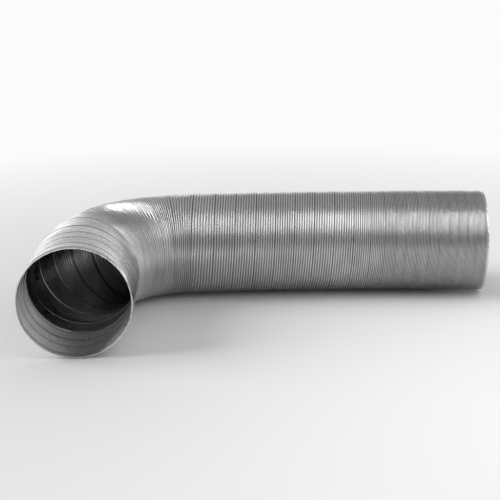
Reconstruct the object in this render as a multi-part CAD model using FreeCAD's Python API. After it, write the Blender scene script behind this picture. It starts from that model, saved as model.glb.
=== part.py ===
import FreeCAD, Part
import math
import os

# A bendable air duct of nominal 125 mm: one thin aluminium strip, ribbed along its length, wound
# into a tube and folded to itself along every turn by a lock seam. It lies on a floor with a
# straight tail and a square bend before its mouth.
#
# The origin is the centre of the tail opening. +X points out of that opening and +Z up. From there
# the tube runs towards -X, and its bend turns the mouth towards -Y. All sizes are in millimetres.

# Cross section of the tube
spigot_radius = 62.5         # round pipe end that the duct is pushed over
rib_clearance = 0.2          # room between that pipe and the grooves between the ribs
rib_height = 1.8             # rise of a rib over the grooves beside it
foil = 0.2                   # thickness of the strip
seam_rise = 0.6              # a lock seam stands this much proud of the ribs
seam_thickness = 1.0         # layers of strip folded together in a lock seam
seam_width = 3.0             # width of the folded seam along the tube
seam_edge = 0.4              # slope at either edge of a seam
cuff_clearance = 1.3         # the plain cut edges are belled out over the pipe by this much
cuff_length = 6.0            # plain wall at each cut edge
floor_flat = 0.5             # the seams are pressed flat this deep where they lie on the floor

# Ribs of one turn, as parts of the step from one rib to the next
ribs_per_turn = 6
tail_end_ribs = 5            # in the turn that is cut off at the tail
mouth_end_ribs = 3           # in the turn that is cut off at the mouth
crest_part = 0.36            # flat top of a rib
root_part = 0.28             # flat bottom of a groove

# Steps of the winding, counted in turns from the tail opening
tail_end_length = 16.0        # the turn that is cut off square at the tail
squeezed_turn_length = 12.9        # turns that are pushed together
last_squeezed_turn = 9
opening_turns = 4.5          # turns that the step takes to grow from there
open_turn_length = 25.6            # turns that are drawn out
last_open_turn = 20
bend_turn_length = 27.1            # mean of the turns round the bend
bend_turn_length_swing = 7.5       # they are longer at both ends of the bend and shorter in its middle
last_bend_turn = 28
mouth_turn_length = 21.4           # turns between the bend and the mouth
mouth_end_length = 15.4       # the turn that is cut off square at the mouth
turn_count = 32

# Stretches of the centre line
tail_sleeve_turns = 4        # stiff straight end of the tail that goes over a pipe
mouth_sleeve_turns = 2       # stiff end at the mouth
lean_angle = 7.2             # degrees by which the long tail leans over before the bend
bend_start = 385.0           # distance along the centre line to the bend
bend_length = 187.7
bend_angle = 88.6            # degrees of the bend itself

# Radii that follow from these sizes
root_radius = spigot_radius + rib_clearance + foil
crest_radius = root_radius + rib_height
seam_radius = crest_radius + seam_rise
cuff_radius = spigot_radius + cuff_clearance + foil
floor_height = floor_flat - seam_radius

last_moving_turn = turn_count - mouth_sleeve_turns


def smooth(x):
    """Goes from 0 to 1 with level ends as x goes from 0 to 1."""
    x = min(max(x, 0.0), 1.0)
    return x * x * (3 - 2 * x)


def turn_length(turn):
    """Length of the tube's centre line in one turn."""
    if turn == 1:
        return tail_end_length
    if turn == turn_count:
        return mouth_end_length
    if turn > last_bend_turn:
        return mouth_turn_length
    if turn > last_open_turn:
        way = (turn - last_open_turn - 0.5) / (last_bend_turn - last_open_turn)
        return bend_turn_length + bend_turn_length_swing * math.cos(2 * math.pi * way)
    opened = smooth((turn - last_squeezed_turn) / opening_turns)
    return squeezed_turn_length + (open_turn_length - squeezed_turn_length) * opened


def distance_after(turn):
    """Distance along the centre line from the tail opening to the end of a turn."""
    return sum(turn_length(earlier) for earlier in range(1, turn + 1))


def share_between(turn, first, last):
    """How much of the stretch from one distance to another lies in a turn, from 0 to 1."""
    lower = max(distance_after(turn - 1), first)
    upper = min(distance_after(turn), last)
    return max(upper - lower, 0.0) / (last - first)


def turn_angle(turn):
    """Degrees by which one turn bends the centre line."""
    lean = share_between(turn, distance_after(tail_sleeve_turns), bend_start)
    bend = share_between(turn, bend_start, bend_start + bend_length)
    return lean_angle * lean + bend_angle * bend


def step_along(place, length, angle):
    """Moves a place (x, y, heading) along an arc of that length that turns by that angle."""
    x, y, heading = place
    turned = math.radians(angle)
    ahead, aside = length, 0.0
    if turned:
        ahead = length / turned * math.sin(turned)
        aside = length / turned * (1 - math.cos(turned))
    x += -ahead * math.cos(heading) + aside * math.sin(heading)
    y += -ahead * math.sin(heading) - aside * math.cos(heading)
    return x, y, heading + turned


def turn_starts():
    """Places where turns 1, 2, 3 and so on start, and last the place where the tube ends."""
    places = [(0.0, 0.0, 0.0)]
    for turn in range(1, turn_count + 1):
        places.append(step_along(places[-1], turn_length(turn), turn_angle(turn)))
    return places


starts = turn_starts()


def place_in_turn(turn, distance):
    """The place at a distance along the centre line from the start of a turn. A negative distance
    or one past the turn's end carries on into its neighbour."""
    if distance < 0:
        return place_in_turn(turn - 1, turn_length(turn - 1) + distance)
    if distance > turn_length(turn):
        return place_in_turn(turn + 1, distance - turn_length(turn))
    return step_along(starts[turn - 1], distance, turn_angle(turn) * distance / turn_length(turn))


def ring(turn, distance, radius):
    """A circle square to the centre line, which always starts at its top."""
    x, y, heading = place_in_turn(turn, distance)
    ahead = FreeCAD.Vector(-math.cos(heading), -math.sin(heading), 0)
    up = FreeCAD.Vector(0, 0, 1)
    turned = FreeCAD.Rotation(up, ahead.cross(up), ahead, "ZXY")
    circle = Part.makeCircle(radius)
    circle.Placement = FreeCAD.Placement(FreeCAD.Vector(x, y, 0), turned)
    return Part.Wire(circle)


def tube(outside, inside):
    """A wall between two skins that end on the same two planes. Each skin goes in straight lines
    through its stations, given as (turn, distance, radius)."""
    outer_rings = [ring(*station) for station in outside]
    inner_rings = [ring(*station) for station in inside]
    faces = Part.makeLoft(outer_rings, False, True).Faces
    faces += [face.reversed() for face in Part.makeLoft(inner_rings, False, True).Faces]
    start = Part.makeFace([outer_rings[0], inner_rings[0]], "Part::FaceMakerBullseye")
    end = Part.makeFace([outer_rings[-1], inner_rings[-1]], "Part::FaceMakerBullseye")
    faces += [start.reversed(), end]
    shell = Part.makeShell(faces)
    shell.sewShape()
    return Part.makeSolid(Part.Shell(shell.Faces))


def rib_walls(turn, first, last, ribs):
    """Stations of the outside and the inside of the ribbed strip between two distances of a turn.
    Every groove takes four rings a side, and half a crest lies on either side of it."""
    step = (last - first) / ribs
    flank = step * (1 - crest_part - root_part) / 2
    corner = foil * math.tan(math.atan2(rib_height, flank) / 2)
    outside = []
    inside = []
    for groove in range(ribs):
        middle = first + step * (groove + 0.5)
        for side in (-1, 1):
            root = side * step * root_part / 2
            crest = root + side * flank
            near = [(root, root_radius), (crest, crest_radius)]
            for along, radius in near if side == 1 else reversed(near):
                outside.append((turn, middle + along, radius))
                inside.append((turn, middle + along + side * corner, radius - foil))
    return outside, inside


def level_walls(turn, first, last, radius, thickness):
    """Stations of a plain wall between two distances of a turn."""
    outside = [(turn, first, radius), (turn, last, radius)]
    inside = [(turn, first, radius - thickness), (turn, last, radius - thickness)]
    return outside, inside


def edge_walls(turn, distance):
    """Stations of the strip's edge, at the height of the crests, where it meets a lock seam."""
    return [(turn, distance, crest_radius)], [(turn, distance, crest_radius - foil)]


def seam_walls(turn):
    """Stations of the folded layers of the lock seam at the end of a turn."""
    reach = seam_width / 2 - seam_edge
    middle = turn_length(turn)
    return level_walls(turn, middle - reach, middle + reach, seam_radius, seam_thickness)


def strip_walls(turn):
    """Stations of a turn's ribs, from the lock seam at its start to the one at its end."""
    return rib_walls(turn, seam_width / 2, turn_length(turn) - seam_width / 2, ribs_per_turn)


def seam_start(turn):
    """Stations of the edge where the lock seam at the end of a turn starts."""
    return edge_walls(turn, turn_length(turn) - seam_width / 2)


def seam_end(turn):
    """Stations of the edge where the lock seam at the end of a turn ends."""
    return edge_walls(turn, turn_length(turn) + seam_width / 2)


def joined(walls):
    """Strings several stretches of wall together into one outside and one inside."""
    outside = [station for wall in walls for station in wall[0]]
    inside = [station for wall in walls for station in wall[1]]
    return outside, inside


def on_the_floor(shape):
    """Presses a piece flat where it would reach below the floor."""
    box = shape.BoundBox
    below = Part.makeBox(
        box.XLength + 2,
        box.YLength + 2,
        2 * seam_radius,
        FreeCAD.Vector(box.XMin - 1, box.YMin - 1, floor_height - 2 * seam_radius),
    )
    return shape.cut(below).Solids[0]


def make_strip(turn):
    """The ribbed strip of one turn, which bends and stretches."""
    return tube(*joined([seam_end(turn - 1), strip_walls(turn), seam_start(turn)]))


def make_seam(turn):
    """The lock seam at the end of a turn: layers of strip folded flat, too stiff to bend."""
    return on_the_floor(tube(*joined([seam_start(turn), seam_walls(turn), seam_end(turn)])))


def make_tail_sleeve():
    """The tail's stiff end: a plain cut edge, then pushed-together turns up to a lock seam."""
    last = turn_length(1) - seam_width / 2
    walls = [level_walls(1, 0.0, cuff_length, cuff_radius, foil)]
    walls.append(rib_walls(1, cuff_length, last, tail_end_ribs))
    for turn in range(2, tail_sleeve_turns + 1):
        walls += [seam_start(turn - 1), seam_walls(turn - 1), seam_end(turn - 1)]
        walls.append(strip_walls(turn))
    walls.append(seam_start(tail_sleeve_turns))
    return on_the_floor(tube(*joined(walls)))


def make_mouth_sleeve():
    """The mouth's stiff end: ribbed turns after a lock seam, then a plain cut edge."""
    walls = [seam_end(last_moving_turn)]
    for turn in range(last_moving_turn + 1, turn_count):
        walls.append(strip_walls(turn))
        walls += [seam_start(turn), seam_walls(turn), seam_end(turn)]
    cuff_start = mouth_end_length - cuff_length
    walls.append(rib_walls(turn_count, seam_width / 2, cuff_start, mouth_end_ribs))
    walls.append(level_walls(turn_count, cuff_start, mouth_end_length, cuff_radius, foil))
    return on_the_floor(tube(*joined(walls)))


def make_parts():
    """Every piece of the duct by its name."""
    parts = {"tail_sleeve": make_tail_sleeve(), "mouth_sleeve": make_mouth_sleeve()}
    for turn in range(tail_sleeve_turns, last_moving_turn + 1):
        parts[f"lock_seam_{turn:02d}"] = make_seam(turn)
    for turn in range(tail_sleeve_turns + 1, last_moving_turn + 1):
        parts[f"strip_turn_{turn:02d}"] = make_strip(turn)
    return parts


def main():
    os.makedirs("parts", exist_ok=True)
    for name, shape in make_parts().items():
        shape.exportStep(f"parts/{name}.step")


main()
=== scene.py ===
# %% [markdown]
# A flexible air duct, as used on heaters, boilers and extractor fans. It is one thin strip of
# aluminium, ribbed along its length and wound into a tube. Where one turn of the strip meets the
# next, their edges are folded together in a flat lock seam. The seams stay stiff, and the ribs
# between them open and close, so the tube can be bent and stretched by hand and stays put.
#
# The solids of the duct come in as a fixed frame. Everything here is in metres in that frame:
# the origin is the centre of the tail opening, +X points out of it and +Z up.

import math

import bpy
import numpy as np
from mathutils import Matrix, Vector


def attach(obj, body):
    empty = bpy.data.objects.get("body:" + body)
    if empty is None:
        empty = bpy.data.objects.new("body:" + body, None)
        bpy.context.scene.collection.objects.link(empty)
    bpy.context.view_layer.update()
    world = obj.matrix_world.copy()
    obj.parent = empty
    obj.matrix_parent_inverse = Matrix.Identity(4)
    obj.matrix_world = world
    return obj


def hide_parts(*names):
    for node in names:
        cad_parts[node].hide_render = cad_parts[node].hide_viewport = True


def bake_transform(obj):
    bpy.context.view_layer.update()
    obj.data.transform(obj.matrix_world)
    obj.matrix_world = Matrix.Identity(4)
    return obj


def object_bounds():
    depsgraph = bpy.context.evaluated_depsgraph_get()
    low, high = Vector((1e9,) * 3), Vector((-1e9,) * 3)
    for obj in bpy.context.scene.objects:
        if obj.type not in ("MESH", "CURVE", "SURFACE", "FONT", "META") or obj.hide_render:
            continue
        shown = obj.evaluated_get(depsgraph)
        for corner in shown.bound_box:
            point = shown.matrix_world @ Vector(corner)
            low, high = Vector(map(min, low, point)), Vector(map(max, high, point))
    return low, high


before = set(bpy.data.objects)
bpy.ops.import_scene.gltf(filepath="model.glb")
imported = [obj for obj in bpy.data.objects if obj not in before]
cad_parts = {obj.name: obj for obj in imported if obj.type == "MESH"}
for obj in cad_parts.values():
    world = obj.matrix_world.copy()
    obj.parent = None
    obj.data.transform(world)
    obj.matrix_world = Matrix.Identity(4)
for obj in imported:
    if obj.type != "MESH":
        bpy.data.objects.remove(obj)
cad_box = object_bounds()

# %% [markdown]
# The camera stands where the photographer stood: about a metre and a half from the bend and
# above the duct, looking a little down. Its place and lens were found by matching the outline of
# the duct. A direction is given by three angles: round to the side, down, and a slight tilt.

# %% Camera
CAMERA_PLACE = (-0.22685, -1.31212, 0.38245)
CAMERA_TURN = -0.05663
CAMERA_DIP = -0.29374
CAMERA_TILT = -0.01237
FOCAL_PIXELS = 1037.7
IMAGE_PIXELS = 500
SENSOR_MM = 36.0
FARTHEST_SEEN = 100.0


def camera_axes(turn, dip, tilt):
    """Right, up and backward directions of a camera that faces +Y, then turns about the
    vertical, dips about its own right, and tilts about its own line of sight."""
    level = math.cos(dip)
    forward = np.array([math.sin(turn) * level, math.cos(turn) * level, math.sin(dip)])
    right = np.array([math.cos(turn), -math.sin(turn), 0.0])
    up = np.cross(right, forward)
    tilted_right = math.cos(tilt) * right + math.sin(tilt) * up
    tilted_up = math.cos(tilt) * up - math.sin(tilt) * right
    return tilted_right, tilted_up, -forward


def add_camera():
    """A camera whose focal length in pixels becomes one in millimetres of its sensor."""
    camera = bpy.data.objects.new("camera", bpy.data.cameras.new("camera"))
    bpy.context.collection.objects.link(camera)
    camera.data.sensor_width = SENSOR_MM
    camera.data.lens = SENSOR_MM * FOCAL_PIXELS / IMAGE_PIXELS
    camera.data.clip_end = FARTHEST_SEEN
    turned = Matrix.Identity(4)
    for column, axis in enumerate(camera_axes(CAMERA_TURN, CAMERA_DIP, CAMERA_TILT)):
        for row in range(3):
            turned[row][column] = float(axis[row])
    camera.matrix_world = Matrix.Translation(CAMERA_PLACE) @ turned
    bpy.context.scene.camera = camera
    return camera


print("lens in mm", round(add_camera().data.lens, 2))

# %% [markdown]
# The centre line of the tube is a chain of arcs, one for each turn of the solids: almost straight
# along the tail, round the bend, and straight again to the mouth. The lengths below are the same
# named sizes that the solids were made from, so the wall drawn here lies on them.

# %% Centre line, in metres
TURNS = 32
TAIL_SLEEVE_TURNS = 4
MOUTH_SLEEVE_TURNS = 2
SQUEEZED_STEP = 0.0129
LAST_SQUEEZED_TURN = 9
OPENING_TURNS = 4.5
OPEN_STEP = 0.0256
LAST_OPEN_TURN = 20
BEND_STEP = 0.0271
BEND_STEP_SWING = 0.0075
LAST_BEND_TURN = 28
MOUTH_STEP = 0.0214
TAIL_END_STEP = 0.016
MOUTH_END_STEP = 0.0154
LEAN = math.radians(7.2)
BEND_START = 0.385
BEND_LENGTH = 0.1877
BEND = math.radians(88.6)


def smooth(x):
    """Goes from 0 to 1 with level ends: three x squared minus two x cubed."""
    x = np.clip(x, 0.0, 1.0)
    return x * x * (3 - 2 * x)


def turn_lengths():
    """Length of each turn. It grows from squeezed to open along the tail, and swings by one
    cosine wave round the bend."""
    turn = np.arange(1, TURNS + 1)
    opened = smooth((turn - LAST_SQUEEZED_TURN) / OPENING_TURNS)
    length = SQUEEZED_STEP + (OPEN_STEP - SQUEEZED_STEP) * opened
    way = (turn - LAST_OPEN_TURN - 0.5) / (LAST_BEND_TURN - LAST_OPEN_TURN)
    bend = BEND_STEP + BEND_STEP_SWING * np.cos(2 * math.pi * way)
    length = np.where(turn > LAST_OPEN_TURN, bend, length)
    length = np.where(turn > LAST_BEND_TURN, MOUTH_STEP, length)
    length[0] = TAIL_END_STEP
    length[-1] = MOUTH_END_STEP
    return length


def share_between(first, last):
    """The share of the stretch from first to last that lies in each turn."""
    lower = np.maximum(turn_ends[:-1], first)
    upper = np.minimum(turn_ends[1:], last)
    return np.maximum(upper - lower, 0) / (last - first)


turn_length = turn_lengths()
turn_ends = np.concatenate([[0.0], np.cumsum(turn_length)])
turn_bend = LEAN * share_between(turn_ends[TAIL_SLEEVE_TURNS], BEND_START)
turn_bend = turn_bend + BEND * share_between(BEND_START, BEND_START + BEND_LENGTH)
headings = np.concatenate([[0.0], np.cumsum(turn_bend)])


def arc_step(heading, angle, length):
    """The chord of an arc that starts with that heading: its length is the arc's times the sine
    of half the angle over half the angle, and it points halfway between both headings."""
    chord = length * np.sinc(angle / (2 * math.pi))
    middle = heading + angle / 2
    return -chord * np.cos(middle), -chord * np.sin(middle)


chord_x, chord_y = arc_step(headings[:-1], turn_bend, turn_length)
start_x = np.concatenate([[0.0], np.cumsum(chord_x)])
start_y = np.concatenate([[0.0], np.cumsum(chord_y)])
TUBE_LENGTH = float(turn_ends[-1])
FLOOR_HEIGHT = cad_box[0][2]


def centre_line(s):
    """Place and heading of the centre line at distance s from the tail opening."""
    turn = np.clip(np.searchsorted(turn_ends, s, side="right") - 1, 0, TURNS - 1)
    into = s - turn_ends[turn]
    angle = turn_bend[turn] * into / turn_length[turn]
    dx, dy = arc_step(headings[turn], angle, into)
    return start_x[turn] + dx, start_y[turn] + dy, headings[turn] + angle


def curvature(s):
    """Angle by which the centre line turns in one metre at distance s, eased from turn to turn."""
    middles = (turn_ends[1:] + turn_ends[:-1]) / 2
    return np.interp(s, middles, turn_bend / turn_length)


def wall_points(s, angle, radius, bottom):
    """Points of the tube: from the centre line out by the radius. The angle is counted from the
    top towards the inside of the bend. Where the tube lies on the floor it is pressed flat."""
    x, y, heading = centre_line(s)
    out = radius * np.sin(angle)
    up = np.maximum(radius * np.cos(angle), bottom)
    return np.stack([x + out * np.sin(heading), y - out * np.cos(heading), up], -1)


def straight_points(s, angle, radius, bottom):
    """The same points with the tube laid out straight along -X."""
    return np.stack([-s, -radius * np.sin(angle), np.maximum(radius * np.cos(angle), bottom)], -1)


tube_end = [round(float(start_x[-1]), 4), round(float(start_y[-1]), 4)]
print("tube length", round(TUBE_LENGTH, 4), "ends at", tube_end)

# %% [markdown]
# The strip is wound as one left-handed helix. Its seam crosses the top front of the tube at the
# distances below, read off along the duct. They are close together where the tail is pushed
# together, wide where it is drawn out, and uneven round the bend, as hands left it. Counting
# turns with a smooth function of the distance gives each point of the wall its place in the
# strip: a whole number is a seam, and eighths between two seams are the ribs. The function is a
# straight line from seam to seam, carried on at both ends and eased by a sliding mean.

# %% Winding
SEAM_DISTANCES_MM = [
    -7.8, 4.1, 16.0, 27.9, 39.0, 50.1, 61.7, 75.2, 90.3, 104.0, 116.7, 131.6, 150.1, 172.2, 197.5,
    223.1, 248.4, 272.8, 298.1, 324.5, 351.1, 380.2, 413.4, 441.5, 464.5, 485.5, 507.5, 531.5,
    557.5, 596.4, 618.3, 637.3, 660.2, 682.0, 704.0,
]
FIRST_SEAM_NUMBER = -1
SEAM_ANGLE = math.radians(75)
EASING_MM = 9.0
RIB_STEPS = 8
FIRST_MM = -8.0
LAST_MM = 704.0
FINE_STEP_MM = 0.25
FIRST_SLOPE_STEPS = 9
LAST_TURN_MM = 22.0

fine_mm = np.arange(FIRST_MM, LAST_MM, FINE_STEP_MM)
seam_numbers = np.arange(len(SEAM_DISTANCES_MM)) + FIRST_SEAM_NUMBER
straight_count = np.interp(fine_mm, SEAM_DISTANCES_MM, seam_numbers)
window = np.hanning(int(EASING_MM / FINE_STEP_MM) * 2 + 1)
half = len(window) // 2
first_rise = straight_count[FIRST_SLOPE_STEPS] - straight_count[0]
first_run = FIRST_SLOPE_STEPS * FINE_STEP_MM
padded = np.concatenate([
    straight_count[0] + (fine_mm[:half] - fine_mm[half]) * first_rise / first_run,
    straight_count,
    straight_count[-1] + (fine_mm[:half] - fine_mm[0] + FINE_STEP_MM) / LAST_TURN_MM,
])
turn_count_at = np.convolve(padded, window / window.sum(), mode="valid")
fine_distance = fine_mm * 0.001


def turns_at(s, angle):
    """Turns of the strip counted at a point of the wall. The helix is left-handed, so the count
    falls by one as the angle goes once round."""
    return np.interp(s, fine_distance, turn_count_at) - (angle - SEAM_ANGLE) / (2 * math.pi)


def distance_of(turns, angle):
    """Distance along the tube at which a count of turns is met at an angle: the inverse."""
    return np.interp(turns + (angle - SEAM_ANGLE) / (2 * math.pi), turn_count_at, fine_distance)


def step_at(s):
    """Length of tube that one turn of the strip takes at distance s."""
    slope = np.gradient(turn_count_at, fine_distance)
    return 1.0 / np.interp(s, fine_distance, slope)


some_steps_mm = step_at(np.array([0.03, 0.25, 0.64])) * 1000
print("step of a turn in mm at the tail, middle and mouth", np.round(some_steps_mm, 1))

# %% [markdown]
# The ribs are folds of a strip whose width doesn't change: where the tube is drawn out they get
# flat, and where it is pushed together they get deep. Half the root of the folded width squared
# minus the step squared is the depth of a zigzag, and rounded folds have less. From the bend on
# the strip has been drawn out and pressed, so less is left of its folds, and on the outside near
# the mouth hardly any. Inside the bend the step is shortest and the ribs lean on each other in
# pairs. No hand-bent duct is even, so a few random waves change the folds and dent the wall.
# Lengths are in metres.

# %% Wall of the tube
# The wall and its folds
CREST_RADIUS = 0.0647
FOIL = 0.0002
FOLDED_WIDTH = 0.0062
ROUNDED_SHARE = 0.23
SHALLOWEST_FOLD = 0.00012
UNEVEN_DEPTH = 0.03

# Where the strip is drawn out, and where its outside is pressed smooth
DRAWN_START, DRAWN_LENGTH, DRAWN_LOSS = 0.38, 0.07, 0.34
UNDERSIDE_LESS, UNDERSIDE_REACH = 0.10, 1.6
PRESSED_START, PRESSED_LENGTH, PRESSED_SKEW = 0.485, 0.07, 0.055
PRESSED_LOSS, PRESSED_SEAM_LOSS = 0.9, 0.7

# Form of the ribs: how flat and wide their tops are, and where they lean on each other in pairs
RIB_FLATNESS, PAIR_FLATNESS, BAND_FLATNESS = 1.6, 1.4, 3.0
CREST_WIDENING, MORE_WIDENING = 0.3, 0.2
CLOSED_STEP, CLOSED_RANGE = 0.0030, 0.0014
CREASED_START, CREASED_LENGTH = 0.37, 0.06
PAIRED_STEP, PAIRED_RANGE, PAIRED_CURVATURE, PAIRED_SHARE = 0.0024, 0.0008, 6, 0.8

# The flat band of a lock seam and the narrow gap at its side, counted in steps of a rib
SEAM_RISE, SEAM_HALF_WIDTH = 0.0003, 0.0015
BAND_HALF_WIDTH, BAND_REACH, BAND_EDGE = 0.5, 0.62, 0.12
NOTCH_PLACE, NOTCH_HALF_WIDTH, NOTCH_DEPTH = -0.40, 0.10, 0.0006
NOTCH_GAPE, NOTCH_GAPE_START, NOTCH_GAPE_LENGTH = 2.6, 0.45, 0.1
INNER_NOTCH_HALF_WIDTH = 0.18

# The plain cut ends, and the edge of the foil folded back there
LIP_RADIUS, LIP_LENGTH = 0.0633, 0.0055
HEM_RISE, HEM_LENGTH, HEM_SLOPE, HEM_INSIDE = 0.0007, 0.0015, 0.0004, 1.5
HEM_MEAN, HEM_NICKS, HEM_LOWEST = 0.8, 0.35, 0.15

# Dents, and how far the whole wall is sunk so that they stay inside the solids
DENT_HEIGHT, FINE_DENT_HEIGHT, HIGHEST_DENT, SUNK = 0.00005, 0.00001, 0.0003, 0.0001
waves = np.random.default_rng(7)


def make_waves(count, most_round, longest, shortest):
    """Random waves on the wall: whole numbers of waves round the tube, and waves along it."""
    around = waves.integers(-most_round, most_round + 1, count)
    along = 2 * math.pi / np.exp(waves.uniform(np.log(shortest), np.log(longest), count))
    return around, along, waves.uniform(0, 2 * math.pi, count)


def sum_waves(kit, s, angle):
    """The sum of all cosines of a set of waves, divided by the root of half their number, which
    makes its spread about 1."""
    total = np.zeros(np.broadcast(s, angle).shape)
    for around, along, shift in zip(*kit):
        total = total + np.cos(around * angle + along * s + shift)
    return total / math.sqrt(len(kit[0]) / 2)


NICK_WAVES = make_waves(20, most_round=60, longest=10.0, shortest=9.0)
DEPTH_WAVES = make_waves(14, most_round=7, longest=0.08, shortest=0.012)
DENT_WAVES = make_waves(16, most_round=6, longest=0.30, shortest=0.040)
FINE_WAVES = make_waves(18, most_round=34, longest=0.020, shortest=0.006)


def fold(phase, flatness, widening):
    """One wave a step from 0 in a groove to 1 on a crest: a cosine, raised to widen the crests,
    squashed by a hyperbolic tangent."""
    lowest = np.tanh(flatness * (widening - 1))
    highest = np.tanh(flatness * (widening + 1))
    wave = np.tanh(flatness * (widening + np.cos(2 * math.pi * phase)))
    return (wave - lowest) / (highest - lowest)


def rib_step(s, angle):
    """Distance from rib to rib: shorter than on the centre line inside the bend, and longer
    outside it."""
    return step_at(s) * (1 - curvature(s) * CREST_RADIUS * np.sin(angle)) / RIB_STEPS


def pressed(s, angle):
    """0 along the tail and 1 at the mouth, where the outside of the strip is pressed smooth. On
    the inner side of the bend that starts later."""
    return smooth((s - PRESSED_START - PRESSED_SKEW * np.sin(angle)) / PRESSED_LENGTH)


def fold_share(s, angle, inside):
    """How much of the folds is left: all along the tail, about two thirds from the bend on, with
    a little more on the underside, and a tenth of that where the outside is pressed smooth."""
    if inside:
        return 1.0
    under = smooth(-UNDERSIDE_REACH * np.cos(angle))
    drawn = smooth((s - DRAWN_START) / DRAWN_LENGTH)
    along = 1 - (DRAWN_LOSS - UNDERSIDE_LESS * under) * drawn
    return along * (1 - PRESSED_LOSS * pressed(s, angle))


def fold_depth(s, angle, inside):
    """Depth of the folds from the width of the folded strip and the local step, and never more
    than the step itself."""
    step = rib_step(s, angle)
    open_part = np.maximum(FOLDED_WIDTH**2 - step**2, (SHALLOWEST_FOLD / ROUNDED_SHARE) ** 2)
    depth = np.minimum(ROUNDED_SHARE * np.sqrt(open_part), step) * fold_share(s, angle, inside)
    return depth * (1 + UNEVEN_DEPTH * sum_waves(DEPTH_WAVES, s, angle))


def crest_widening(s, angle):
    """Pushed together, the ribs close over their grooves, so the crests get wider. From the bend
    on the grooves are only narrow creases."""
    bent = smooth((s - CREASED_START) / CREASED_LENGTH)
    closed = smooth((CLOSED_STEP - rib_step(s, angle)) / CLOSED_RANGE)
    return CREST_WIDENING + MORE_WIDENING * closed * (1 - bent) + MORE_WIDENING * bent


def paired_share(s, angle):
    """Inside the bend the ribs lean on each other in pairs: 1 where they do, and 0 elsewhere."""
    closed = smooth((PAIRED_STEP - rib_step(s, angle)) / PAIRED_RANGE)
    return closed * smooth(curvature(s) / PAIRED_CURVATURE)


def lip(s):
    """0 at both cut edges of the tube and 1 a little way in."""
    return smooth(np.minimum(s, TUBE_LENGTH - s) / LIP_LENGTH)


def crevice(s, angle):
    """1 along the narrow gap at the side of each seam, where one edge tucks under the other. It
    gapes more from the bend to the mouth."""
    place = turns_at(s, angle)
    phase = (place - np.round(place)) * RIB_STEPS
    gape = smooth((s - NOTCH_GAPE_START) / NOTCH_GAPE_LENGTH)
    half_width = NOTCH_HALF_WIDTH * (1 + NOTCH_GAPE * gape)
    return smooth(1 - np.abs(phase - NOTCH_PLACE) / half_width)


def inner_crevice(s, angle):
    """1 along both sides of a seam, seen from inside."""
    place = turns_at(s, angle)
    phase = np.abs(place - np.round(place)) * RIB_STEPS
    return smooth(1 - np.abs(phase + NOTCH_PLACE) / INNER_NOTCH_HALF_WIDTH)


def hem(s, angle):
    """Height of the edge of the foil that is folded back at both cut ends. It drops to nothing
    a little way in, and waves round the tube give it small nicks."""
    way_in = np.minimum(s, TUBE_LENGTH - s)
    nicks = HEM_NICKS * sum_waves(NICK_WAVES, 0.0, angle)
    whole = np.clip(HEM_MEAN + nicks, HEM_LOWEST, 1.0)
    return HEM_RISE * whole * smooth((HEM_LENGTH - way_in) / HEM_SLOPE)


def wall_radius(s, angle, inside=False):
    """Radius of the outside: crest radius less the folds, with the seams and dents added. Close
    to a seam its flat band takes the place of the folds. With the folds of the inside instead,
    it is what the inside follows."""
    place = turns_at(s, angle)
    phase = (place - np.round(place)) * RIB_STEPS
    near_seam = smooth((BAND_REACH - np.abs(phase)) / BAND_EDGE)
    on_band = smooth((BAND_HALF_WIDTH - np.abs(phase)) / BAND_EDGE)
    depth = fold_depth(s, angle, inside)
    level = 1 - PRESSED_SEAM_LOSS * pressed(s, angle)
    single = fold(phase, RIB_FLATNESS, crest_widening(s, angle)) - 1
    paired = fold(phase / 2, PAIR_FLATNESS, 0.0) - 1
    ribs = (single + (paired - single) * PAIRED_SHARE * paired_share(s, angle)) * depth
    band = (fold(phase, BAND_FLATNESS, 0.0) - 1) * depth + SEAM_RISE * level * on_band
    notched = band - NOTCH_DEPTH * crevice(s, angle)
    relief = ribs * (1 - near_seam) + notched * near_seam
    dents = DENT_HEIGHT * sum_waves(DENT_WAVES, s, angle)
    dents = dents + FINE_DENT_HEIGHT * sum_waves(FINE_WAVES, s, angle)
    ribbed = CREST_RADIUS + relief + np.minimum(dents, HIGHEST_DENT) - SUNK
    return LIP_RADIUS + (ribbed - LIP_RADIUS) * lip(s) + hem(s, angle)


bend_depths_mm = fold_depth(np.full(2, 0.47), np.array([-1.57, 1.57]), False) * 1000
print("depth of the folds in mm, outside and inside of the bend", np.round(bend_depths_mm, 2))

# %% [markdown]
# A wall piece is a grid whose rows follow the folds round the helix, so that every crest and
# groove is a clean line of edges. The piece ends on planes square to the tube, so rows that run
# past a plane are held there, and the triangles that this flattens to nothing are dropped. The
# inside is the same grid one foil thickness further in, and thin rings close both ends.

# %% Mesh of a stretch of tube
COLUMNS = 160
ROWS_PER_RIB = 8
RIB_ROWS = [i / ROWS_PER_RIB for i in range(ROWS_PER_RIB)]
SEAM_ROWS = [-0.5, -0.45, -0.42, -0.38, -0.34, -0.30, -0.25, -0.12, 0.12, 0.3, 0.38, 0.44]
ROWS_PER_TURN = len(SEAM_ROWS) + len(RIB_ROWS) * (RIB_STEPS - 1)
SLOPE_STEP = 0.00008


def row_turns(first_turn, last_turn):
    """Counts of turns at which the rows lie: eight to a rib and a few more across the seams."""
    seam = np.array(SEAM_ROWS)
    ribs = np.concatenate([np.array(RIB_ROWS) + rib + 0.5 for rib in range(RIB_STEPS - 1)])
    one_turn = np.concatenate([seam, ribs]) / RIB_STEPS
    whole = np.arange(math.floor(first_turn) - 1, math.ceil(last_turn) + 2)
    return (whole[:, None] + one_turn[None, :]).ravel()


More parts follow.
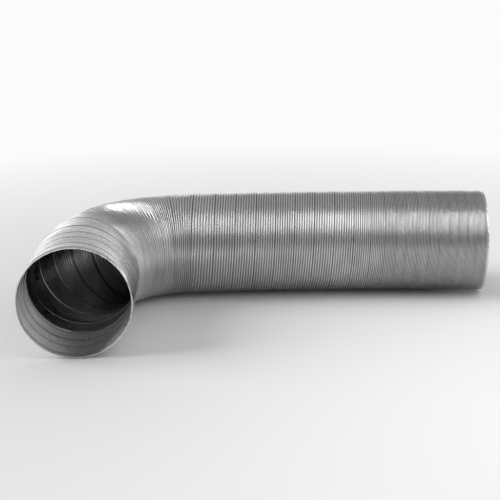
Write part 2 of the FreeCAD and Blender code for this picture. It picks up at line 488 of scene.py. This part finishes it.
def held_grid(start, end):
    """Distances and angles of a grid between two planes, and the row at which each column meets
    either plane."""
    angle = np.arange(COLUMNS) * 2 * math.pi / COLUMNS
    first = turns_at(start, 2 * math.pi)
    last = turns_at(end, 0.0)
    rows = row_turns(float(first), float(last))
    s = distance_of(rows[:, None], angle[None, :])
    low = np.sum(s <= start, axis=0) - 1
    high = np.sum(s < end, axis=0)
    keep = slice(int(low.min()), int(high.max()) + 1)
    s = np.clip(s[keep], start, end)
    return s, np.broadcast_to(angle, s.shape), low - keep.start, high - keep.start


def wall_triangles(rows, low, high):
    """Triangles of the outside wall as numbers of grid points. Once round the tube the rows meet
    those one turn on. Points past an end plane are held to the last one on it, and triangles
    with a repeated point are dropped."""
    row = np.arange(-ROWS_PER_TURN, rows)[:, None]
    column = np.arange(COLUMNS)[None, :]

    def number(r, c):
        r = r + ROWS_PER_TURN * (c // COLUMNS)
        c = c % COLUMNS
        return np.clip(r, low[c], high[c]) * COLUMNS + c

    a, b = number(row, column), number(row, column + 1)
    c, d = number(row + 1, column + 1), number(row + 1, column)
    halves = [np.stack([a, c, b], -1), np.stack([a, d, c], -1)]
    triangles = np.concatenate([corners.reshape(-1, 3) for corners in halves])
    p, q, r = triangles.T
    return triangles[(p != q) & (q != r) & (r != p)]


def end_ring(edge, inner_offset, outward):
    """Two triangles a column between the outer and inner edge of the wall on an end plane."""
    ahead = np.roll(edge, -1)
    a, b, c, d = edge, ahead, ahead + inner_offset, edge + inner_offset
    triangles = np.concatenate([np.stack([a, b, c], -1), np.stack([a, c, d], -1)])
    return triangles if outward else triangles[:, ::-1]


def inner_radius(s, angle):
    """Radius of the inside: at least one foil further in, with the hem a little proud there."""
    followed = np.minimum(wall_radius(s, angle), wall_radius(s, angle, inside=True))
    return followed - HEM_INSIDE * hem(s, angle) - FOIL


def outside_of(s, angle):
    """Points of the outside of the wall."""
    return wall_points(s, angle, wall_radius(s, angle), FLOOR_HEIGHT)


def inside_of(s, angle):
    """Points of the inside of the wall."""
    return wall_points(s, angle, inner_radius(s, angle), FLOOR_HEIGHT + FOIL)


def surface_normals(points_of, s, angle):
    """Unit normals of a wall, from the cross product of its slopes along and around."""
    turn = SLOPE_STEP / CREST_RADIUS
    along = points_of(s + SLOPE_STEP, angle) - points_of(s - SLOPE_STEP, angle)
    around = points_of(s, angle + turn) - points_of(s, angle - turn)
    normal = np.cross(along, around)
    return normal / np.linalg.norm(normal, axis=-1, keepdims=True)


def tube_mesh(name, start, end):
    """Mesh of the wall from one distance to another, still without places for its points. With
    it come the distance and angle of each point of one wall, the faces, and which are rings."""
    s, angle, low, high = held_grid(start, end)
    walls = wall_triangles(len(s), low, high)
    used = np.unique(walls)
    renumber = np.full(s.size, -1)
    renumber[used] = np.arange(len(used))
    column = np.arange(COLUMNS)
    first_edge = renumber[low * COLUMNS + column]
    last_edge = renumber[high * COLUMNS + column]
    outside = renumber[walls]
    count = len(used)
    faces = np.concatenate([
        outside,
        outside[:, ::-1] + count,
        end_ring(first_edge, count, True),
        end_ring(last_edge, count, False),
    ])
    s, angle = s.ravel()[used], angle.ravel()[used]
    mesh = bpy.data.meshes.new(name)
    mesh.vertices.add(2 * count)
    mesh.loops.add(3 * len(faces))
    mesh.polygons.add(len(faces))
    mesh.polygons.foreach_set("loop_start", np.arange(len(faces), dtype=np.int32) * 3)
    mesh.polygons.foreach_set("vertices", faces.ravel().astype(np.int32))
    ring_corners = np.arange(len(faces)) >= 2 * len(outside)
    return mesh, s, angle, faces, ring_corners


def laid_straight(s, angle):
    """Both walls with the tube laid out straight."""
    return np.concatenate([
        straight_points(s, angle, wall_radius(s, angle), FLOOR_HEIGHT),
        straight_points(s, angle, inner_radius(s, angle), FLOOR_HEIGHT + FOIL),
    ])


def corner_normals(s, angle, faces, on_ring):
    """A normal for each corner of each face: that of the wall, or along the tube on the rings."""
    outer = surface_normals(outside_of, s, angle)
    inner = -surface_normals(inside_of, s, angle)
    normals = np.concatenate([outer, inner])[faces]
    middle = (s.min() + s.max()) / 2
    ring = faces[on_ring] % len(s)
    heading = centre_line(s[ring])[2]
    ahead = np.where(s[ring] > middle, 1.0, -1.0)
    along_tube = [-ahead * np.cos(heading), -ahead * np.sin(heading), 0 * heading]
    normals[on_ring] = np.stack(along_tube, -1)
    return normals.reshape(-1, 3)


# Painted shade: these set how dark the grooves, the seam gaps and the inner wall are painted.
PAINTED_SHADE_DEPTH = 0.0019
SHALLOW_PAINTED_SHADE = 0.06
USUAL_FOLD = 0.0012
PRESSED_GROOVE_SHADE_LOSS = 0.8
GAP_SHARPNESS = 1.6
FAINT_GAP_SHADE = 0.3
PAST_HEM_LENGTH = 0.001
PLACES_A_METRE = 40
INNER_WALL_SHIFT = 7.0


def wall_places(s, angle):
    """Where each point lies on the wall, for noise that follows the strip: a circle and the
    distance. The inner wall has the same, moved to where the noise is another one."""
    place = np.stack([np.cos(angle), np.sin(angle), s * PLACES_A_METRE], -1)
    return np.concatenate([place, place + [INNER_WALL_SHIFT, 0, 0]])


def painted_shade_marks(s, angle):
    """How much painted shade there is at each point: that of the gap beside a seam, of a groove
    and of the inside, for the outer wall and then for the inner one. The painted shade of a groove
    gets
    darker with its depth under the crests: that over a depth which grows with the folds
    themselves, so shallow folds have shaded grooves too."""
    drop = CREST_RADIUS - wall_radius(s, angle)
    folds = fold_depth(s, angle, False) / USUAL_FOLD
    painted_shade_depth = PAINTED_SHADE_DEPTH * (SHALLOW_PAINTED_SHADE + (1 - SHALLOW_PAINTED_SHADE) * folds)
    pressed_share = pressed(s, angle)
    groove = np.clip(drop / painted_shade_depth, 0, 1) * lip(s) * (1 - PRESSED_GROOVE_SHADE_LOSS * pressed_share)
    # Painted shade in the gap beside each seam: faint along the tail, full where pressed.
    gap = np.minimum(GAP_SHARPNESS * crevice(s, angle), 1) * lip(s)
    gap = gap * (FAINT_GAP_SHADE + (1 - FAINT_GAP_SHADE) * pressed_share)
    outer = np.stack([gap, groove, 0 * s], -1)
    drop = CREST_RADIUS - wall_radius(s, angle, inside=True)
    groove = np.clip((fold_depth(s, angle, True) - drop) / PAINTED_SHADE_DEPTH, 0, 1) * lip(s)
    way_in = np.minimum(s, TUBE_LENGTH - s)
    # Painted shade on the inner wall begins a little past the hem.
    inside_shade_share = smooth((way_in - HEM_LENGTH) / PAST_HEM_LENGTH)
    inner = np.stack([inner_crevice(s, angle) * lip(s), groove, inside_shade_share], -1)
    return np.concatenate([outer, inner])


def store_attribute(mesh, name, values):
    """A number or a vector of three kept on each point of the mesh for the materials."""
    kind, key = ("FLOAT", "value") if values.ndim == 1 else ("FLOAT_VECTOR", "vector")
    layer = mesh.attributes.new(name, kind, "POINT")
    layer.data.foreach_set(key, values.astype(np.float32).ravel())


def tube_piece(name, start, end, bodies, nodes, material):
    """A stretch of tube that rides on one body; one given two bodies is attached to neither. Its
    points are first laid out straight, and then go to their places along the centre line."""
    mesh, s, angle, faces, on_ring = tube_mesh(name, start, end)
    piece = bpy.data.objects.new(name, mesh)
    bpy.context.collection.objects.link(piece)
    mesh.vertices.foreach_set("co", laid_straight(s, angle).ravel())
    mesh.update(calc_edges=True)
    if len(bodies) == 2:
        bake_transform(piece)
    else:
        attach(piece, bodies[0])
    bent = np.concatenate([outside_of(s, angle), inside_of(s, angle)])
    mesh.vertices.foreach_set("co", bent.ravel())
    mesh.update()
    mesh.polygons.foreach_set("use_smooth", np.ones(len(mesh.polygons), dtype=bool))
    mesh.normals_split_custom_set(corner_normals(s, angle, faces, on_ring))
    store_attribute(mesh, "wall_place", wall_places(s, angle))
    # Where the wall is painted with shade: seam gaps, grooves and the inside.
    store_attribute(mesh, "painted_shade_marks", painted_shade_marks(s, angle))
    store_attribute(mesh, "wall_pressed", np.concatenate([pressed(s, angle), 0 * s]))
    mesh.materials.append(material)
    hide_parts(*nodes)
    return piece


# %% [markdown]
# Rolled foil is bright but not a mirror. Rolling leaves fine lines along the strip, hands and
# folding leave it smudged and a little crumpled. The grooves between the ribs and the gap beside
# each seam get painted shade, a darker colour for the little light that reaches them, and the
# inner wall gets painted shade too, a darker copy of the foil colour. Where the outside is pressed
# smooth it is also shinier. The lines and smudges are noise on the place of a point on the wall,
# squeezed across the strip for the lines.

# %% Finish of the foil
def new_group(name, inputs, outputs):
    """An empty shader group with named inputs, given with their values, and named outputs."""
    group = bpy.data.node_groups.new(name, "ShaderNodeTree")
    for label, kind, value in inputs:
        socket = group.interface.new_socket(label, in_out="INPUT", socket_type=kind)
        if value is not None:
            socket.default_value = value
    for label, kind in outputs:
        group.interface.new_socket(label, in_out="OUTPUT", socket_type=kind)
    return group, group.nodes.new("NodeGroupInput"), group.nodes.new("NodeGroupOutput")


def put(tree, kind, **settings):
    """A new node with some of its properties set."""
    node = tree.nodes.new(kind)
    for key, value in settings.items():
        setattr(node, key, value)
    return node


def noise(tree, vector, scale, detail, stretch):
    """Noise on a vector that is first multiplied by the stretch."""
    mapping = put(tree, "ShaderNodeMapping")
    mapping.inputs["Scale"].default_value = stretch
    tree.links.new(vector, mapping.inputs["Vector"])
    node = put(tree, "ShaderNodeTexNoise")
    node.inputs["Scale"].default_value = scale
    node.inputs["Detail"].default_value = detail
    tree.links.new(mapping.outputs["Vector"], node.inputs["Vector"])
    return node.outputs["Fac"]


def remap(tree, value, low, high, to_low, to_high):
    """Maps the stretch from low to high onto another, and holds it there."""
    node = put(tree, "ShaderNodeMapRange")
    labels = ("From Min", "From Max", "To Min", "To Max")
    for label, number in zip(labels, (low, high, to_low, to_high)):
        node.inputs[label].default_value = number
    tree.links.new(value, node.inputs["Value"])
    return node.outputs["Result"]


def combine(tree, operation, first, second):
    """One step of arithmetic on two values, which are sockets or numbers."""
    node = put(tree, "ShaderNodeMath", operation=operation)
    for socket, value in zip(node.inputs, (first, second)):
        if isinstance(value, (int, float)):
            socket.default_value = value
        else:
            tree.links.new(value, socket)
    return node.outputs["Value"]


def mix_colours(tree, share, first, second):
    """A mix of two colours by a share."""
    node = put(tree, "ShaderNodeMix", data_type="RGBA")
    colours = [socket for socket in node.inputs if socket.type == "RGBA"]
    tree.links.new(share, node.inputs["Factor"])
    tree.links.new(first, colours[0])
    tree.links.new(second, colours[1])
    return next(socket for socket in node.outputs if socket.type == "RGBA")


SMUDGE_SCALE, SMUDGE_DULL = 2.4, 0.6
LINE_SCALE, LINE_STRETCH, LINE_DULL = 3.0, (1.0, 1.0, 30.0), 0.12
CRUMPLE_SCALE, CRUMPLE_HEIGHT = 9.0, 0.5
NOISE_LOW, NOISE_HIGH = 0.4, 0.7
GROOVE_DULL_AND_SHADE, GROOVE_PAINTED_SHADE, GAP_PAINTED_SHADE = 0.25, 0.9, 0.85
PRESSED_ROUGH, PRESSED_HEIGHT = 0.7, 0.2


def rolled_foil_group():
    """Group that gives rolled foil its colour, roughness and fine lines. Its dull share, from 0 to
    1, is the sum of smudges, lines and grooves, and mixes both colours and both roughnesses, so
    through it the grooves get painted shade as well as more roughness. On top of that the inner
    wall, the grooves and the gaps beside the seams are painted darker: painted shade."""
    inputs = [
        ("Bright", "NodeSocketColor", (0.8, 0.8, 0.8, 1)),
        ("Dull", "NodeSocketColor", (0.6, 0.6, 0.6, 1)),
        ("Painted groove shade", "NodeSocketColor", (0.2, 0.2, 0.2, 1)),
        ("Inside", "NodeSocketColor", (0.3, 0.3, 0.3, 1)),
        ("Painted gap shade", "NodeSocketColor", (0.02, 0.02, 0.02, 1)),
        ("Smooth", "NodeSocketFloat", 0.2),
        ("Rough", "NodeSocketFloat", 0.4),
        ("Place", "NodeSocketVector", None),
        ("Painted shade marks", "NodeSocketVector", None),
        ("Pressed", "NodeSocketFloat", 0.0),
    ]
    outputs = [
        ("Color", "NodeSocketColor"),
        ("Roughness", "NodeSocketFloat"),
        ("Height", "NodeSocketFloat"),
    ]
    group, given, result = new_group("rolled foil", inputs, outputs)
    links = group.links
    place, is_pressed = given.outputs["Place"], given.outputs["Pressed"]
    smudge = noise(group, place, SMUDGE_SCALE, 4.0, (1.0, 1.0, 1.0))
    lines = noise(group, place, LINE_SCALE, 5.0, LINE_STRETCH)
    # The marks are painted shade: of the seam gaps, the grooves and the inner wall.
    shade_marks = put(group, "ShaderNodeSeparateXYZ")
    links.new(given.outputs["Painted shade marks"], shade_marks.inputs["Vector"])
    gap, groove, inside = shade_marks.outputs["X"], shade_marks.outputs["Y"], shade_marks.outputs["Z"]
    smudged = remap(group, smudge, NOISE_LOW, NOISE_HIGH, 0.0, SMUDGE_DULL)
    lined = remap(group, lines, NOISE_LOW, NOISE_HIGH, 0.0, LINE_DULL)
    dull_and_shade = combine(group, "ADD", smudged, lined)
    # Grooves add to the dull share: painted shade in the colour, and more roughness.
    dull_and_shade = combine(group, "ADD", dull_and_shade, combine(group, "MULTIPLY", groove, GROOVE_DULL_AND_SHADE))
    metal = mix_colours(group, dull_and_shade, given.outputs["Bright"], given.outputs["Dull"])
    # Painted shade: the inner wall, from a little past the hem, gets the darker Inside colour.
    metal = mix_colours(group, inside, metal, given.outputs["Inside"])
    # Painted shade: grooves get a dark colour that grows with their depth.
    painted_groove_shade = combine(group, "MULTIPLY", groove, GROOVE_PAINTED_SHADE)
    metal = mix_colours(group, painted_groove_shade, metal, given.outputs["Painted groove shade"])
    # Painted shade: the gap beside each seam, inside and out, is painted nearly black.
    painted_gap_shade = combine(group, "MULTIPLY", gap, GAP_PAINTED_SHADE)
    metal = mix_colours(group, painted_gap_shade, metal, given.outputs["Painted gap shade"])
    links.new(metal, result.inputs["Color"])
    spread = combine(group, "SUBTRACT", given.outputs["Rough"], given.outputs["Smooth"])
    spread = combine(group, "MULTIPLY", spread, dull_and_shade)
    rough = combine(group, "ADD", given.outputs["Smooth"], spread)
    less_rough = remap(group, is_pressed, 0.0, 1.0, 1.0, PRESSED_ROUGH)
    links.new(combine(group, "MULTIPLY", rough, less_rough), result.inputs["Roughness"])
    crumple = noise(group, place, CRUMPLE_SCALE, 3.0, (1, 1, 1))
    crumple = combine(group, "MULTIPLY", crumple, CRUMPLE_HEIGHT)
    height = combine(group, "ADD", lines, crumple)
    flatter = remap(group, is_pressed, 0.0, 1.0, 1.0, PRESSED_HEIGHT)
    links.new(combine(group, "MULTIPLY", height, flatter), result.inputs["Height"])
    return group


BUMP_STRENGTH = 0.02
BUMP_DISTANCE = 0.0002
ATTRIBUTES = {
    "Place": ("wall_place", "Vector"),
    # Painted shade of seam gaps, grooves and the inside.
    "Painted shade marks": ("painted_shade_marks", "Vector"),
    "Pressed": ("wall_pressed", "Fac"),
}


def foil_material(name, group, colours, smooth_value, rough_value):
    """Metal with the foil group on its colour, roughness and bump. The group reads what the wall
    keeps on its points."""
    material = bpy.data.materials.new(name)
    material.use_nodes = True
    tree = material.node_tree
    shader = tree.nodes["Principled BSDF"]
    shader.inputs["Metallic"].default_value = 1.0
    foil = put(tree, "ShaderNodeGroup", node_tree=group)
    for label, value in {**colours, "Smooth": smooth_value, "Rough": rough_value}.items():
        foil.inputs[label].default_value = value
    for label, (attribute, output) in ATTRIBUTES.items():
        source = put(tree, "ShaderNodeAttribute", attribute_name=attribute)
        tree.links.new(source.outputs[output], foil.inputs[label])
    bump = put(tree, "ShaderNodeBump")
    bump.inputs["Strength"].default_value = BUMP_STRENGTH
    bump.inputs["Distance"].default_value = BUMP_DISTANCE
    tree.links.new(foil.outputs["Height"], bump.inputs["Height"])
    tree.links.new(foil.outputs["Color"], shader.inputs["Base Color"])
    tree.links.new(foil.outputs["Roughness"], shader.inputs["Roughness"])
    tree.links.new(bump.outputs["Normal"], shader.inputs["Normal"])
    return material


foil_group = rolled_foil_group()
STRIP_COLOURS = {
    "Bright": (0.72, 0.72, 0.73, 1),
    "Dull": (0.58, 0.58, 0.59, 1),
    # Painted shade in the grooves
    "Painted groove shade": (0.12, 0.12, 0.12, 1),
    # Painted shade on the inner wall, a darker copy of the foil
    "Inside": (0.52, 0.52, 0.53, 1),
    # Painted shade in the gaps beside the seams
    "Painted gap shade": (0.03, 0.03, 0.03, 1),
}
SMOOTHEST, ROUGHEST = 0.26, 0.40
strip_foil = foil_material("aluminium strip", foil_group, STRIP_COLOURS, SMOOTHEST, ROUGHEST)
print("materials", [material.name for material in bpy.data.materials])

# %% [markdown]
# One piece for each turn that bends, from the middle of one lock seam to the middle of the next,
# and one for the stiff sleeve at either end. Neighbours share the same edge points, so the tube
# looks whole.

# %% Pieces of the tube
FIRST_MOVING_TURN = TAIL_SLEEVE_TURNS + 1
LAST_MOVING_TURN = TURNS - MOUTH_SLEEVE_TURNS


def body_after(turn):
    """Name of the body that carries the lock seam at the end of a turn."""
    if turn == TAIL_SLEEVE_TURNS:
        return "tail"
    if turn == LAST_MOVING_TURN:
        return "mouth"
    return f"turn_{turn:02d}"


def add_tube():
    """All stretches of the tube, from the tail to the mouth."""
    nodes = ["tail_sleeve", f"lock_seam_{TAIL_SLEEVE_TURNS:02d}"]
    end = turn_ends[TAIL_SLEEVE_TURNS]
    pieces = [tube_piece("tail_end", 0.0, end, ["tail"], nodes, strip_foil)]
    for turn in range(FIRST_MOVING_TURN, LAST_MOVING_TURN + 1):
        bodies = [body_after(turn - 1), body_after(turn)]
        nodes = [f"strip_turn_{turn:02d}", f"lock_seam_{turn:02d}"]
        start, end = turn_ends[turn - 1], turn_ends[turn]
        name = f"ribbed_turn_{turn:02d}"
        pieces.append(tube_piece(name, start, end, bodies, nodes, strip_foil))
    start, nodes = turn_ends[LAST_MOVING_TURN], ["mouth_sleeve"]
    pieces.append(tube_piece("mouth_end", start, TUBE_LENGTH, ["mouth"], nodes, strip_foil))
    return pieces


tube = add_tube()
print("pieces", len(tube), "triangles", sum(len(piece.data.polygons) for piece in tube))

# %% [markdown]
# The duct lies on a plain pale floor, in the soft light of a studio: a wide softbox above its
# front and a broad light from the left. What the metal mirrors gives it most of its tones, so the
# world is a room: a white backdrop low behind the duct, dark low in front, grey walls above that,
# lighter on the right, and a dim ceiling. The floor turns white with the distance from the duct.

# %% Floor and light
FLOOR_REACH = 20.0
FLOOR_COLOUR = (0.82, 0.82, 0.82, 1)
FLOOR_ROUGHNESS = 0.9
WHITE_CENTRE = (-0.3, -0.12, FLOOR_HEIGHT)
WHITE_FROM = 0.25
WHITE_TO = 1.1
WHITE_SHARE = 0.9
BACKDROP_Z, WINDOW_Z, CEILING_Z = (0.16, 0.26), (0.38, 0.48), (0.55, 0.72)
BACKDROP_Y, WINDOW_X = (-0.65, 0.8), (0.3, 0.7)
SIDEWAYS = 0.7
WALLS_AWAY, CEILING_AWAY = (-0.9, 0.3), (-0.45, 0.1)
DARK_ROOM = 0.36
WHITE_BACKDROP = 1.5
DARK_WALLS = 0.18
GREY_WALLS = 0.40
WHITE_CEILING = 0.5
WINDOW = 0.5
SOFTBOX_PLACE = (0.1, -0.38, 0.5)
SOFTBOX_SIZE = (0.7, 0.58)
SOFTBOX_POWER = 1.75
LEFT_DIRECTION = (-0.85, -0.05, 0.5)
LEFT_WIDTH_DEGREES = 40
LEFT_STRENGTH = 2.3


def white_floor_material(colour, roughness, centre, near, far, white_share):
    """A plain pale floor. What the camera sees of it, straight or in the metal, is mixed with
    even white. The share of white grows with the distance from the duct, so the background comes
    out white and the floor near the duct keeps its shadow."""
    material = bpy.data.materials.new("white floor")
    material.use_nodes = True
    tree = material.node_tree
    shader = tree.nodes["Principled BSDF"]
    shader.inputs["Base Color"].default_value = colour
    shader.inputs["Roughness"].default_value = roughness
    path = put(tree, "ShaderNodeLightPath")
    seen = combine(tree, "ADD", path.outputs["Is Camera Ray"], path.outputs["Is Glossy Ray"])
    seen = combine(tree, "ADD", seen, path.outputs["Is Transmission Ray"])
    point = put(tree, "ShaderNodeTexCoord")
    distance = put(tree, "ShaderNodeVectorMath", operation="DISTANCE")
    tree.links.new(point.outputs["Object"], distance.inputs[0])
    distance.inputs[1].default_value = centre
    whiter = remap(tree, distance.outputs["Value"], near, far, 0.0, white_share)
    share = combine(tree, "MULTIPLY", combine(tree, "MINIMUM", seen, 1.0), whiter)
    white = put(tree, "ShaderNodeEmission")
    mixed = put(tree, "ShaderNodeMixShader")
    tree.links.new(share, mixed.inputs[0])
    tree.links.new(shader.outputs[0], mixed.inputs[1])
    tree.links.new(white.outputs[0], mixed.inputs[2])
    tree.links.new(mixed.outputs[0], tree.nodes["Material Output"].inputs["Surface"])
    return material


def add_floor(reach):
    """A square floor that the duct lies on."""
    mesh = bpy.data.meshes.new("floor")
    corners = [(-reach, -reach), (reach, -reach), (reach, reach), (-reach, reach)]
    mesh.from_pydata([(x, y, FLOOR_HEIGHT) for x, y in corners], [], [(0, 1, 2, 3)])
    floor = bpy.data.objects.new("floor", mesh)
    bpy.context.collection.objects.link(floor)
    pale = white_floor_material(
        FLOOR_COLOUR, FLOOR_ROUGHNESS, WHITE_CENTRE, WHITE_FROM, WHITE_TO, WHITE_SHARE
    )
    mesh.materials.append(pale)


NEARLY_BACK = (0.0, 1.0, 0.02)


def add_sun(name, direction, width_degrees, strength):
    """A far soft light of a given width that shines from a direction. The other two axes of the
    lamp are square to it, and the way nearly straight back helps to find them."""
    lamp = bpy.data.lights.new(name, "SUN")
    lamp.angle = math.radians(width_degrees)
    lamp.energy = strength
    thing = bpy.data.objects.new(name, lamp)
    bpy.context.collection.objects.link(thing)
    away = np.array(direction, float)
    away = away / np.linalg.norm(away)
    side = np.cross(NEARLY_BACK, away)
    side = side / np.linalg.norm(side)
    up = np.cross(away, side)
    thing.matrix_world = Matrix([[side[i], up[i], away[i]] for i in range(3)]).to_4x4()


def add_softbox(name, centre, width, depth, power):
    """A wide flat lamp that shines straight down."""
    lamp = bpy.data.lights.new(name, "AREA")
    lamp.shape = "RECTANGLE"
    lamp.size = width
    lamp.size_y = depth
    lamp.energy = power
    thing = bpy.data.objects.new(name, lamp)
    bpy.context.collection.objects.link(thing)
    thing.matrix_world = Matrix.Translation(centre)


def set_world():
    """The room as the metal mirrors it, by direction. Z tells low from high: the backdrop, the
    walls and the ceiling, each mixed into the next. Y, with a share of X, tells the back from the
    front: the backdrop is white and the front dark, walls and ceiling are darker to the front
    left, and there is more light on the right, up to a middling height."""
    world = bpy.data.worlds.new("studio")
    bpy.context.scene.world = world
    world.use_nodes = True
    tree = world.node_tree
    direction = put(tree, "ShaderNodeTexCoord")
    parts = put(tree, "ShaderNodeSeparateXYZ")
    tree.links.new(direction.outputs["Generated"], parts.inputs["Vector"])
    x, y, z = (parts.outputs[axis] for axis in "XYZ")
    away = combine(tree, "ADD", combine(tree, "MULTIPLY", x, SIDEWAYS), y)
    around = remap(tree, y, *BACKDROP_Y, DARK_ROOM, WHITE_BACKDROP)
    walls = remap(tree, away, *WALLS_AWAY, DARK_WALLS, GREY_WALLS)
    ceiling = remap(tree, away, *CEILING_AWAY, DARK_WALLS, WHITE_CEILING)
    low = remap(tree, z, *BACKDROP_Z, 1.0, 0.0)
    high = remap(tree, z, *CEILING_Z, 0.0, 1.0)
    under_window_top = remap(tree, z, *WINDOW_Z, 1.0, 0.0)
    backdrop = combine(tree, "MULTIPLY", low, combine(tree, "SUBTRACT", around, walls))
    overhead = combine(tree, "MULTIPLY", high, combine(tree, "SUBTRACT", ceiling, walls))
    right = remap(tree, x, *WINDOW_X, 0.0, WINDOW)
    level = combine(tree, "ADD", backdrop, walls)
    level = combine(tree, "ADD", level, overhead)
    level = combine(tree, "ADD", level, combine(tree, "MULTIPLY", right, under_window_top))
    background = tree.nodes["Background"]
    tree.links.new(level, background.inputs["Color"])


add_floor(FLOOR_REACH)
set_world()
add_softbox("softbox", SOFTBOX_PLACE, *SOFTBOX_SIZE, SOFTBOX_POWER)
add_sun("left light", LEFT_DIRECTION, LEFT_WIDTH_DEGREES, LEFT_STRENGTH)
bpy.context.scene.view_settings.view_transform = "Standard"
print("lights", [light.name for light in bpy.data.lights])
